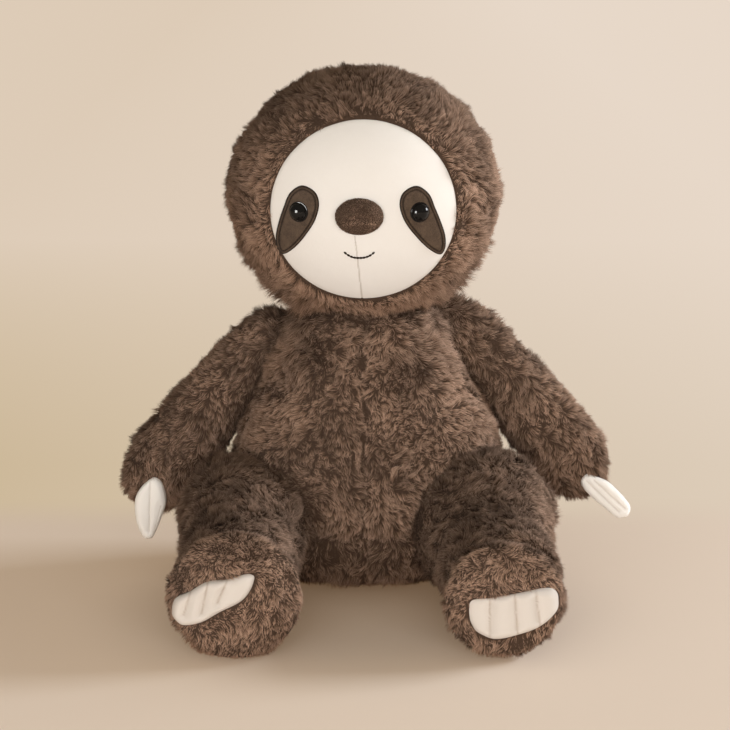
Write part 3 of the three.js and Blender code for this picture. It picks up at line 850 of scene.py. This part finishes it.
washer_plastic = finish_of("washer_plastic", washer_paint)
for side, sign in (("left", 1), ("right", -1)):
    x = FEATURE_X + sign * EYE_OUT
    outline = [(0.0, EYE_DOME)]
    for i in range(1, EYE_STEPS + 1):
        turn = math.pi / 2 * i / EYE_STEPS
        height = EYE_RIM + (EYE_DOME - EYE_RIM) * math.cos(turn)
        outline.append((EYE_RADIUS * 0.93 * math.sin(turn), height))
    outline += [
        (0.0057, 0.00045), (EYE_RADIUS, EYE_RIM), (EYE_FLANGE, 0.0003), (EYE_FLANGE, -0.0004),
        (POST_RADIUS, -0.0006), (POST_RADIUS, -0.012), (0.0018, -POST_LENGTH), (0.0, -POST_LENGTH),
    ]
    dome = bmesh.new()
    chain = [dome.verts.new((r, 0, h)) for r, h in outline]
    chain += [dome.edges.new(pair) for pair in zip(chain, chain[1:])]
    bmesh.ops.spin(
        dome, geom=chain, cent=(0, 0, 0), axis=(0, 0, 1), angle=2 * math.pi, steps=48,
        use_merge=True,
    )
    bmesh.ops.remove_doubles(dome, verts=dome.verts, dist=1e-6)
    bmesh.ops.recalc_face_normals(dome, faces=dome.faces)
    facing = head_normal(x, EYE_Z, PATCH_INSET)
    seat = Vector((x, head_front(x, EYE_Z, PATCH_INSET), EYE_Z))
    bmesh.ops.transform(
        dome, verts=dome.verts,
        matrix=Matrix.Translation(seat) @ facing.to_track_quat("Z", "Y").to_matrix().to_4x4(),
    )
    eye = new_piece(f"eye_{side}_dome", dome, eye_plastic)
    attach(eye, "head")
    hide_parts(f"eye_{side}")
    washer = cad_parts[f"eye_washer_{side}"]
    washer.data.materials.clear()
    washer.data.materials.append(washer_plastic)


# The eye patches: dark brown suede cut as slanting drops, laid on the face under the eyes and
# sewn down with a row of dark stitches just inside the edge.
MM = 1000
PATCH_OUTLINE = (
    (-2, 16), (-10, 12.5), (-12.5, 5), (-10, -5), (-4, -15), (3.5, -24), (10.5, -28.5), (14, -24),
    (14.5, -16), (12.5, -7), (9.5, 2), (5.5, 11),
)
PATCH_EDGE_DROP = 0.0016
PATCH_ROUND = 0.0012
PATCH_SEAM = 0.0021
PATCH_DIP = 0.0005
STITCH_LENGTH = 0.0016
STITCH_PITCH = 0.0022
STITCH_THREAD = 0.0006
LEFT_PATCH_SLANT = 0.09


def smooth_loop(corners, count):
    """That many points, evenly spaced on a closed curve through the corners, given in mm."""
    corner = np.array(corners, float) / MM
    before, after, beyond = (np.roll(corner, k, 0) for k in (1, -1, -2))
    t = (np.arange(24) / 24)[None, :, None]
    a, b, c, d = (x[:, None] for x in (before, corner, after, beyond))
    fine = (
        2 * b + (c - a) * t + (2 * a - 5 * b + 4 * c - d) * t**2 + (3 * b - a - 3 * c + d) * t**3
    ) / 2
    fine = np.concatenate([fine.reshape(-1, 2), corner[:1]])
    run = np.concatenate([[0], np.cumsum(np.linalg.norm(np.diff(fine, axis=0), axis=1))])
    want = np.linspace(0, run[-1], count, endpoint=False)
    return np.stack([np.interp(want, run, fine[:, k]) for k in (0, 1)], 1)


def gap_to_line(p, start, end):
    """How far points (x, z) are from each of some straight lines; the least of them."""
    run = end - start
    share = ((p[:, None] - start) * run).sum(2) / np.maximum((run * run).sum(1), 1e-16)
    near = start + np.clip(share, 0, 1)[..., None] * run
    return np.linalg.norm(p[:, None] - near, axis=2).min(1)


def ringed_disc(loop, rings):
    """A flat disc in rings inside a closed loop of (x, z) points."""
    disc = bmesh.new()
    rim = [disc.verts.new((x, 0, z)) for x, z in loop]
    edges = [disc.edges.new(pair) for pair in zip(rim, rim[1:] + rim[:1])]
    middle = Matrix.Translation((-loop[:, 0].mean(), 0, -loop[:, 1].mean()))
    for ring in range(rings - 1, 0, -1):
        grown = bmesh.ops.extrude_edge_only(disc, edges=edges)["geom"]
        inner = {v for v in grown if isinstance(v, bmesh.types.BMVert)}
        edges = [e for e in grown if isinstance(e, bmesh.types.BMEdge)]
        edges = [e for e in edges if inner.issuperset(e.verts)]
        bmesh.ops.scale(disc, verts=list(inner), vec=[ring / (ring + 1)] * 3, space=middle)
    heart = bmesh.ops.contextual_create(disc, geom=edges)["faces"]
    bmesh.ops.poke(disc, faces=heart)
    bmesh.ops.recalc_face_normals(disc, faces=disc.faces)
    if sum(f.normal.y for f in disc.faces) > 0:
        bmesh.ops.reverse_faces(disc, faces=disc.faces)
    return disc


def flat_places(shape):
    """Where a flat shape's vertices are, as (x, z)."""
    return np.array([(v.co.x, v.co.z) for v in shape.verts])


def sew(shape, path, facing, length, thick, slot):
    """Adds one stitch, a plump capsule of thread, between each point of path and the next."""
    for here, there, up in zip(path, path[1:], facing):
        along = (there - here).normalized()
        frame_of = Matrix((along, up.cross(along).normalized(), up)).transposed().to_4x4()
        stitch = bmesh.ops.create_uvsphere(
            shape, u_segments=8, v_segments=6, radius=1,
            matrix=Matrix.Translation((here + there) / 2) @ frame_of
            @ Matrix.Diagonal((length / 2, thick / 2, thick / 2, 1)),
        )["verts"]
        for face in {f for v in stitch for f in v.link_faces}:
            face.material_index = slot
    return shape


def suede_paint(dye):
    nap = grain(dye, 1500.0, Detail=3.0)
    stroked = grain(dye, 160.0, Detail=6.0, Roughness=0.7)
    bump = dye.node("ShaderNodeBump", None, {"Height": nap, "Strength": 0.5, "Distance": 0.0003})
    edge = dye.node("ShaderNodeAttribute", {"attribute_name": "shade"}, out=2)
    share = nap * 0.7 + stroked * 1.1 - 0.38 - edge * 1.2
    share = dye.node("ShaderNodeClamp", None, {"Value": share})
    return {
        "Base Color": mixed(dye, share, (0.024, 0.015, 0.010, 1), (0.128, 0.086, 0.058, 1)),
        "Roughness": nap * 0.2 + 0.75,
        "Normal": bump,
    }


def thread_paint(dye):
    ply = grain(dye, 2500.0)
    return {
        "Base Color": mixed(dye, ply, (0.012, 0.007, 0.004, 1), (0.034, 0.021, 0.013, 1)),
        "Roughness": ply * 0.3 + 0.45,
    }


brown_suede = finish_of("brown_suede", suede_paint, Specular_IOR_Level=0.15)
dark_thread = finish_of("dark_thread", thread_paint, Specular_IOR_Level=0.1)
for side, sign in (("left", 1), ("right", -1)):
    x, z = MM * (FEATURE_X + sign * EYE_OUT), MM * EYE_Z
    slant = LEFT_PATCH_SLANT if sign > 0 else 0
    loop = smooth_loop(
        [(x + sign * (across - slant * min(0, up)), z + up) for across, up in PATCH_OUTLINE], 140
    )
    patch = ringed_disc(loop, 30)
    shade = patch.verts.layers.float.new("shade")
    gaps = gap_to_line(flat_places(patch), loop, np.roll(loop, -1, 0))
    for v, gap in zip(patch.verts, gaps):
        round_edge = math.sqrt(max(0.0, 1 - max(0.0, 1 - gap / PATCH_ROUND) ** 2))
        sunk = PATCH_DIP * crease(gap - PATCH_SEAM, 0.0005)
        inset = PATCH_INSET + PATCH_EDGE_DROP * (1 - round_edge) + sunk
        v.co.y = head_front(v.co.x, v.co.z, inset)
        v[shade] = max(0.0, 1 - gap / 0.0011) + 0.5 * sunk / PATCH_DIP
    ring = [Vector((a, 0, b)) for a, b in loop]
    middle = Vector((loop[:, 0].mean(), 0, loop[:, 1].mean()))
    seam = []
    for a, b, c in zip(ring[-1:] + ring, ring, ring[1:] + ring[:1]):
        way = (c - a).normalized()
        inward = Vector((-way.z, 0, way.x))
        inward *= 1 if inward.dot(middle - b) > 0 else -1
        seam.append(b + PATCH_SEAM * inward)
    spaced, run = [seam[0]], 0.0
    for a, b in zip(seam, seam[1:] + seam[:1]):
        run += (b - a).length
        if run >= STITCH_PITCH:
            spaced.append(b)
            run = 0.0
    path = [Vector((p.x, head_front(p.x, p.z, PATCH_INSET + 0.0002), p.z)) for p in spaced]
    ups = [head_normal(p.x, p.z, PATCH_INSET) for p in path]
    sew(patch, path, ups, STITCH_LENGTH, STITCH_THREAD, 1)
    piece = new_piece(f"eye_patch_{side}_suede", patch, brown_suede, dark_thread)
    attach(piece, "head")
    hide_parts(f"eye_patch_{side}")


# The nose: a small stuffed oval of short dark plush sewn on by its edge, with one tuck pinched
# across it under the middle, and a painted highlight on the pile just under the tuck.
NOSE_Z = 0.243
NOSE_HALVES = Vector((0.0146, 0.0102, 0.0111))
NOSE_TUCK = 0.0018
NOSE_TUCK_HALF = 0.0105
NOSE_CLEFT = 0.001
NOSE_CLEFT_HEIGHT = 0.0045
nose_at = Vector((FEATURE_X, head_front(FEATURE_X, NOSE_Z, FACE_INSET), NOSE_Z))


def tuck_line(x):
    return nose_at.z + 0.0004 - 0.22 * np.abs(x - nose_at.x)


pad = bmesh.new()
bmesh.ops.create_uvsphere(pad, u_segments=64, v_segments=48, radius=1)
bmesh.ops.scale(pad, verts=pad.verts, vec=NOSE_HALVES)
bmesh.ops.translate(pad, verts=pad.verts, vec=nose_at)
cut = bmesh.ops.bisect_plane(
    pad, geom=pad.verts[:] + pad.edges[:] + pad.faces[:], dist=1e-6,
    plane_co=nose_at + Vector((0, 0.003, 0)), plane_no=(0, 1, 0), clear_outer=True,
)["geom_cut"]
bmesh.ops.contextual_create(pad, geom=[e for e in cut if isinstance(e, bmesh.types.BMEdge)])
for v in pad.verts:
    reach = max(0.0, 1 - ((v.co.x - nose_at.x) / NOSE_TUCK_HALF) ** 2)
    reach *= v.co.y < nose_at.y - 0.004
    v.co.y += NOSE_TUCK * reach * crease(v.co.z - tuck_line(v.co.x), 0.0011)
    rise = (v.co.z - tuck_line(v.co.x)) / NOSE_CLEFT_HEIGHT
    if 0 < rise < 1:
        v.co.y += NOSE_CLEFT * (1 - rise) * reach * crease(v.co.x - nose_at.x, 0.0008)
bmesh.ops.recalc_face_normals(pad, faces=pad.faces)


def in_order(shape):
    """The same shape with its vertices and faces sorted by place. Blender gives a sphere's in an
    order that changes from run to run, and the pile is drawn face by face."""
    places = sorted(v.co.to_tuple() for v in shape.verts)
    number = {place: i for i, place in enumerate(places)}
    loops = []
    for face in shape.faces:
        loop = [number[v.co.to_tuple()] for v in face.verts]
        # A face of four corners starts at an end of its diagonal, so that it splits the same way.
        step = 2 if len(loop) == 4 else 1
        start = min(range(0, len(loop), step), key=loop.__getitem__)
        loops.append(loop[start:] + loop[:start])
    shape.free()
    made = bmesh.new()
    corners = [made.verts.new(place) for place in places]
    for loop in sorted(loops):
        made.faces.new([corners[i] for i in loop])
    return made


nose_skin = new_piece("nose_pad", in_order(pad), knit_backing)
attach(nose_skin, "head")
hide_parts("nose")


def nose_shows(p):
    return p[:, 1] < nose_at.y + 0.0005


# A painted highlight just under the tuck, and the nose's own darker tone all over.
def nose_tone_and_highlight(p):
    under = crease(p[:, 2] - tuck_line(p[:, 0]) + 0.0020, 0.0010)
    return 1.1 * under * (np.abs(p[:, 0] - nose_at.x) < 0.0095) - 0.42


def nose_lay(p):
    return np.stack([p[:, 0] - nose_at.x, np.zeros(len(p)), np.full(len(p), -0.006)], 1)


nose_pile = grow_pile(
    "nose_plush", nose_skin, 31, nose_shows, nose_lay, density=13e6, pile=0.0008, width=0.0003,
    lean=0.8, swirl=0.2, clump=0.15, tuft=2e-6, light_and_tone=nose_tone_and_highlight,
)
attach(nose_pile, "head")


# The mouth: a smile in thick dark thread, backstitched through the face either side of the dart,
# so that each stitch overlaps the one before it.
MOUTH_HALF = 0.0095
MOUTH_Z = 0.2205
MOUTH_DIP = 0.004
MOUTH_STITCHES = 10
MOUTH_STITCH_LENGTH = 0.0025
MOUTH_THREAD = 0.0014
smile = []
for i in range(MOUTH_STITCHES + 1):
    across = 2 * i / MOUTH_STITCHES - 1
    x, z = FEATURE_X + across * MOUTH_HALF, MOUTH_Z - MOUTH_DIP * (1 - abs(across) ** 2.5)
    smile.append(Vector((x, head_front(x, z, FACE_INSET - 0.0003), z)))
ups = [head_normal(p.x, p.z, FACE_INSET) for p in smile]
smile = sew(bmesh.new(), smile, ups, MOUTH_STITCH_LENGTH, MOUTH_THREAD, 0)
mouth = new_piece("mouth_thread", smile, dark_thread)
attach(mouth, "head")
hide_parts("mouth_stitch")


# The claws: pouches of brushed cloth, stuffed, sewn down between the claws and set into the hand
# or foot by their upper edge. The cloth is painted whiter than the face's, painted light for the
# right hand's claws, which sit in shade, and painted shade takes it down along the grooves, most on
# the toes and a little on the left hand.
CLAW_WHITE = (0.92, 0.90, 0.87, 1)
CLAW_SHADE = (0.88, 0.85, 0.81, 1)
CLAW_ROUND = 0.0045
claw_cloth = finish_of(
    "claw_cloth", lambda dye: cream_paint(dye, CLAW_WHITE, CLAW_SHADE), Specular_IOR_Level=0.25,
    Sheen_Weight=0.15,
)


def claw_pouch(node, body, outline, lines, front_y, depth, wrap, groove, claw_shade):
    """A flat stuffed pouch, whose outline and sewn lines are given in mm as seen from the front."""
    loop = smooth_loop(outline, 150)
    pouch = ringed_disc(loop, 26)
    places = flat_places(pouch)
    line = np.array(lines, float).reshape(-1, 2, 2) / MM
    gap = gap_to_line(places, loop, np.roll(loop, -1, 0))
    fold = gap_to_line(places, line[:, 0], line[:, 1])
    full = np.sqrt(1 - np.maximum(0, 1 - gap / CLAW_ROUND) ** 2)
    hollow = 0.4 * crease(fold, 0.0008) + 0.6 * crease(fold, 0.0034)
    drawn = groove * np.minimum(1, gap / CLAW_ROUND) * hollow
    shade = pouch.verts.layers.float.new("shade")
    # Painted shade over the whole pouch, more along the sewn grooves.
    for v, away in zip(pouch.verts, fold):
        v[shade] = claw_shade + 0.3 * crease(away, 0.0005)
    middle = loop.mean(0)
    bow = (places[:, 0] - middle[0]) ** 2 / (2 * wrap)
    back = bmesh.ops.duplicate(pouch, geom=pouch.verts[:] + pouch.edges[:] + pouch.faces[:])["geom"]
    behind = [v for v in back if isinstance(v, bmesh.types.BMVert)]
    for sheet, way in ((pouch.verts[: len(places)], -1), (behind, 1)):
        for v, plump, pull, bend in zip(sheet, full, drawn, bow):
            v.co.y = front_y + depth / 2 + bend + way * max(0.0, depth / 2 * plump - pull * plump)
    bmesh.ops.reverse_faces(pouch, faces=[f for f in back if isinstance(f, bmesh.types.BMFace)])
    bmesh.ops.remove_doubles(pouch, verts=pouch.verts, dist=1e-6)
    bmesh.ops.smooth_vert(
        pouch, verts=pouch.verts, factor=0.5, use_axis_x=True, use_axis_y=True, use_axis_z=True
    )
    made = new_piece(node + "_pouch", pouch, claw_cloth)
    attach(made, body)
    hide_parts(node)
    return made


claws = {}
for node, body, front_y, depth, wrap, groove, claw_shade, outline, lines in (
    ("left_toe_claws", "left_leg", -0.2122, 0.012, 0.07, 0.0028, 0.5,
     ((58, 37), (62, 40.5), (72.4, 41.2), (86.3, 43), (105.9, 45), (111.5, 42.2), (112.8, 37.2),
      (111.7, 30.4), (102.5, 22.5), (88.8, 17.7), (76.3, 15.1), (68.3, 17.2), (62.5, 21.3),
      (58.6, 29.1)),
     (((72.6, 44), (72.9, 14)), ((86.7, 45), (89.1, 16)), ((98.8, 46), (102.4, 20)))),
    ("right_toe_claws", "right_leg", -0.2129, 0.012, 0.07, 0.0028, 0.5,
     ((-110.6, 30.6), (-108.5, 38.5), (-100.5, 43), (-90, 49.4), (-78.7, 51), (-68.7, 54),
      (-64.3, 54.4), (-61.3, 52.3), (-63.4, 44.7), (-69.4, 37.7), (-81.9, 31.8), (-93.2, 25.4),
      (-103.9, 23.2), (-108.9, 26.2)),
     (((-98.8, 45), (-103.4, 30)), ((-89, 50), (-92.8, 31.5)), ((-78, 51), (-83.4, 38)))),
    ("left_hand_claws", "left_arm", -0.0041, 0.009, 0.06, 0.0018, 0.1,
     ((141, 60), (144.5, 64), (150, 62.5), (158, 59.5), (163.5, 55), (169.3, 48.9), (173.7, 42.8),
      (174.3, 38.9), (172.4, 35.2), (167.9, 34.1), (164.1, 35.4), (155.9, 42.2), (149.0, 47.8),
      (143, 54)),
     (((145, 59.5), (166.5, 39)), ((150, 60), (170.5, 41)))),
    ("right_hand_claws", "right_arm", -0.0081, 0.009, 0.06, 0.0016, 0.0,
     ((-136, 62.5), (-142.5, 58), (-147.2, 51.5), (-148.8, 45.1), (-148.6, 37.4), (-146.8, 29.1),
      (-143.2, 22.3), (-140.1, 21.3), (-137.4, 22.3), (-134.2, 28.5), (-130.4, 38.1),
      (-128.3, 45.1), (-128.5, 52), (-131, 59.5)),
     (((-138.3, 60), (-139.2, 27)), ((-131.5, 44), (-136.5, 26)))),
):
    claws[node] = claw_pouch(node, body, outline, lines, front_y, depth, wrap, groove, claw_shade)


# The arms: stuffed sleeves of the fur cloth in a front and a back panel, sewn to the body's side.
# They are fuller on the inner side and, where the body hides it at rest, in the armpit.
ARM_SEAM_Y = 0.016
ARM_SEAM_DEPTH = 0.0015
ARM_INNER_SWELL = 0.0035
ARMPIT_SWELL = 0.010
SHOULDER_X = 0.047
GIVE_BELOW = 0.03


def sew_arm(side, sign, angle, shoulder_z):
    """Stuffs one arm at the shoulder and grows its pile."""
    body = side + "_arm"
    down_arm = np.array((sign * math.sin(angle), 0, -math.cos(angle)))
    to_body = np.array((-sign * math.cos(angle), 0, -math.sin(angle)))
    shoulder = np.array((sign * SHOULDER_X, ARM_SEAM_Y, shoulder_z))

    def inner_share(p):
        along, inward = (p - shoulder) @ down_arm, (p - shoulder) @ to_body
        return ramp(inward, 0, 0.02) * ramp(along, 0.04, 0.09)

    def armpit(p):
        along, inward = (p - shoulder) @ down_arm, (p - shoulder) @ to_body
        return ramp(along, 0.034, 0.014) * ramp(inward, -0.004, 0.006)

    def arm_seams(p):
        drawn = ARM_SEAM_DEPTH * crease(p[:, 1] - ARM_SEAM_Y, 0.003)
        return drawn - ARM_INNER_SWELL * inner_share(p) - ARMPIT_SWELL * armpit(p)

    def root_share(p):
        return ramp((p - shoulder) @ down_arm, GIVE_BELOW, 0)

    skin = stuffed_skin(body + "_skin", body + "_stuffing", girth=0.021, draw_in=arm_seams)
    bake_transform(skin)
    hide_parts(body + "_stuffing")
    for part, seed, keep in (
        ("_front", 41, lambda p: p[:, 1] < ARM_SEAM_Y),
        ("_back", 43, lambda p: p[:, 1] >= ARM_SEAM_Y),
    ):
        # The arms' pile is painted a little darker all over, painted shade.
        panel = grow_pile(
            body + part + "_fur", skin, seed + (sign > 0), keep,
            lambda p: np.tile(down_arm, (len(p), 1)), lean=lambda p: 0.95 - 0.1 * root_share(p),
            level=lambda p: 1 + 0.3 * root_share(p) + 0.3 * inner_share(p),
            beside=("torso_stuffing", "head_stuffing", side + "_leg_stuffing"),
            light_and_tone=lambda p: np.full(len(p), -0.1), shy=[claws[side + "_hand_claws"]],
        )
        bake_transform(panel)
        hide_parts(body + part)


sew_arm("left", 1, angle=math.radians(41), shoulder_z=0.171)
sew_arm("right", -1, angle=math.radians(39.5), shoulder_z=0.164)


# The legs: stuffed the same way, lying forward on the floor, with an upper and an under panel
# whose seam runs round the toe, and on the left one a seam along the top. The foot is gathered
# into a round cushion, and its sole, combed down, has a curved seam at the outer edge. The pile is
# painted lighter towards the toe and most on the sole, painted light, and darker in the gather
# and along the seams, painted shade.
LEG_RADIUS = 0.040
LEG_ROOT_X = 0.071
LEG_LENGTH = 0.194
TOE_Y = -0.206
TOE_Z = 0.0383
HIP_END_Y = -0.11
LEG_SEAM_DEPTH = 0.0015
TOP_SEAM_DEPTH = 0.0015
GATHER_DEPTH = 0.007
FOOT_SWELL = 0.0065
SOLE_SEAM_RADIUS = 0.031


def sew_leg(side, sign, spread, roll, gather_y, inward, hip_swell):
    """Stuffs one leg at the hip and grows its pile."""
    body = side + "_leg"
    toe = np.array((sign * (LEG_ROOT_X + LEG_LENGTH * math.sin(spread)), 0, TOE_Z))
    seam_up = np.array((-math.sin(roll), 0, math.cos(roll)))

    def over_seam(p):
        return (p - toe) @ seam_up

    def gather(p):
        return crease(p[:, 1] - gather_y, 0.005) * ramp(p[:, 2], 0.03, 0.05)

    def ball(p):
        share = ramp(p[:, 1], gather_y, gather_y - 0.014)
        return share * share * (3 - 2 * share)

    def sole(p):
        return ramp(p[:, 1], gather_y - 0.004, gather_y - 0.016)

    def sole_seam(p):
        across, up = p[:, 0] - toe[0], p[:, 2] - toe[2]
        below = (across > -0.004) & (up < 0.012)
        return crease(np.hypot(across, up) - SOLE_SEAM_RADIUS, 0.0014) * sole(p) * below

    def top_seam(p):
        middle = toe[0] - sign * (p[:, 1] - TOE_Y) * math.tan(spread)
        shows = (p[:, 2] > 0.05) & (p[:, 1] < -0.08) & (sign > 0)
        return crease(p[:, 0] - middle, 0.002) * shows * (1 - ball(p))

    def hip(p):
        return ramp(p[:, 1], HIP_END_Y, -0.06)

    def leg_seams(p):
        across, up = p[:, 0] - toe[0], p[:, 2] - toe[2]
        out = np.clip((np.hypot(across, up) - 0.016) / 0.018, 0.4, 1)
        out *= 1 - inward * sign * across / LEG_RADIUS
        drawn = LEG_SEAM_DEPTH * crease(over_seam(p), 0.003) * (1 - sole(p))
        drawn += TOP_SEAM_DEPTH * top_seam(p) - hip_swell * hip(p)
        return drawn + GATHER_DEPTH * gather(p) - FOOT_SWELL * out * ball(p)

    def leg_lay(p):
        downward = (p - toe) * (8, 0, 0) - (0, 0, 1)
        forward = np.array((sign * math.sin(spread), -math.cos(spread), -0.3))
        return forward + sole(p)[:, None] * (downward - forward)

    # Painted light towards the toe, on the ball and most on the sole; painted shade in the gather
    # and along the sole's and top's seams.
    def leg_painted_light(p):
        lit = 0.15 * ramp(p[:, 1], -0.13, -0.19) + 0.1 * ball(p) + 0.4 * sole(p) - 0.08
        return lit - 0.45 * gather(p) - 0.45 * sole_seam(p) - 0.3 * top_seam(p)

    def leg_level(p):
        return 0.95 + 0.2 * hip(p) - 0.32 * ball(p) - 0.4 * gather(p) - 0.2 * sole_seam(p)

    skin = stuffed_skin(body + "_skin", body + "_stuffing", girth=0.036, draw_in=leg_seams)
    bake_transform(skin)
    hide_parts(body + "_stuffing")
    for part, seed, thick, keep in (
        ("_upper", 51, 1.15, lambda p: over_seam(p) >= 0),
        ("_under", 53, 0.75, lambda p: over_seam(p) < 0),
    ):
        panel = grow_pile(
            body + part + "_fur", skin, seed + (sign > 0), keep, leg_lay,
            density=thick * PILE_DENSITY, lean=lambda p: 1.05 - 0.1 * sole(p),
            level=leg_level, light_and_tone=leg_painted_light, shy=[claws[side + "_toe_claws"]],
            beside=("torso_stuffing", side + "_arm_stuffing"), clump=0.2,
        )
        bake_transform(panel)
        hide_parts(body + part)


sew_leg(
    "left", 1, spread=math.radians(4.3), roll=math.radians(5), gather_y=-0.184, inward=0.5,
    hip_swell=0.006,
)
sew_leg(
    "right", -1, spread=math.radians(2), roll=math.radians(24), gather_y=-0.174, inward=0.1,
    hip_swell=0.002,
)

low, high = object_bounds()
